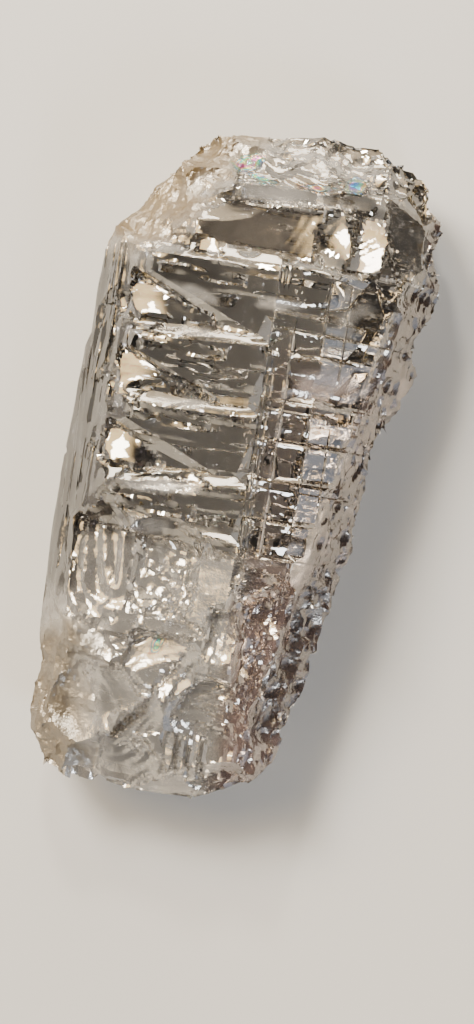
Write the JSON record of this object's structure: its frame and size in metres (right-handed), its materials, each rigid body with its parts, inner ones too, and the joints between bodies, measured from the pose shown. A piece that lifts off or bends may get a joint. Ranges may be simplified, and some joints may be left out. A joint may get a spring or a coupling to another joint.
{
  "type": "crystal fragment",
  "caption": "Clear, pale champagne crystal, long and tapered, with stepped growth ledges on its front and broken, chipped ends; it lies on its flat back.",
  "frame": {"origin": "middle of the crystal's bounding box, on the surface that its flat back rests on", "axes": "+X across the crystal towards its frosted, bumpy side, +Y along the growth axis towards the wide broken end, +Z out of the stepped front"},
  "size_m": [0.0238, 0.0454, 0.013],
  "materials": {
    "clear_crystal": "polished growth faces with frosted, chipped rims"
  },
  "bodies": {
    "root": {"crystal": "clear_crystal"}
  },
  "joints": []
}
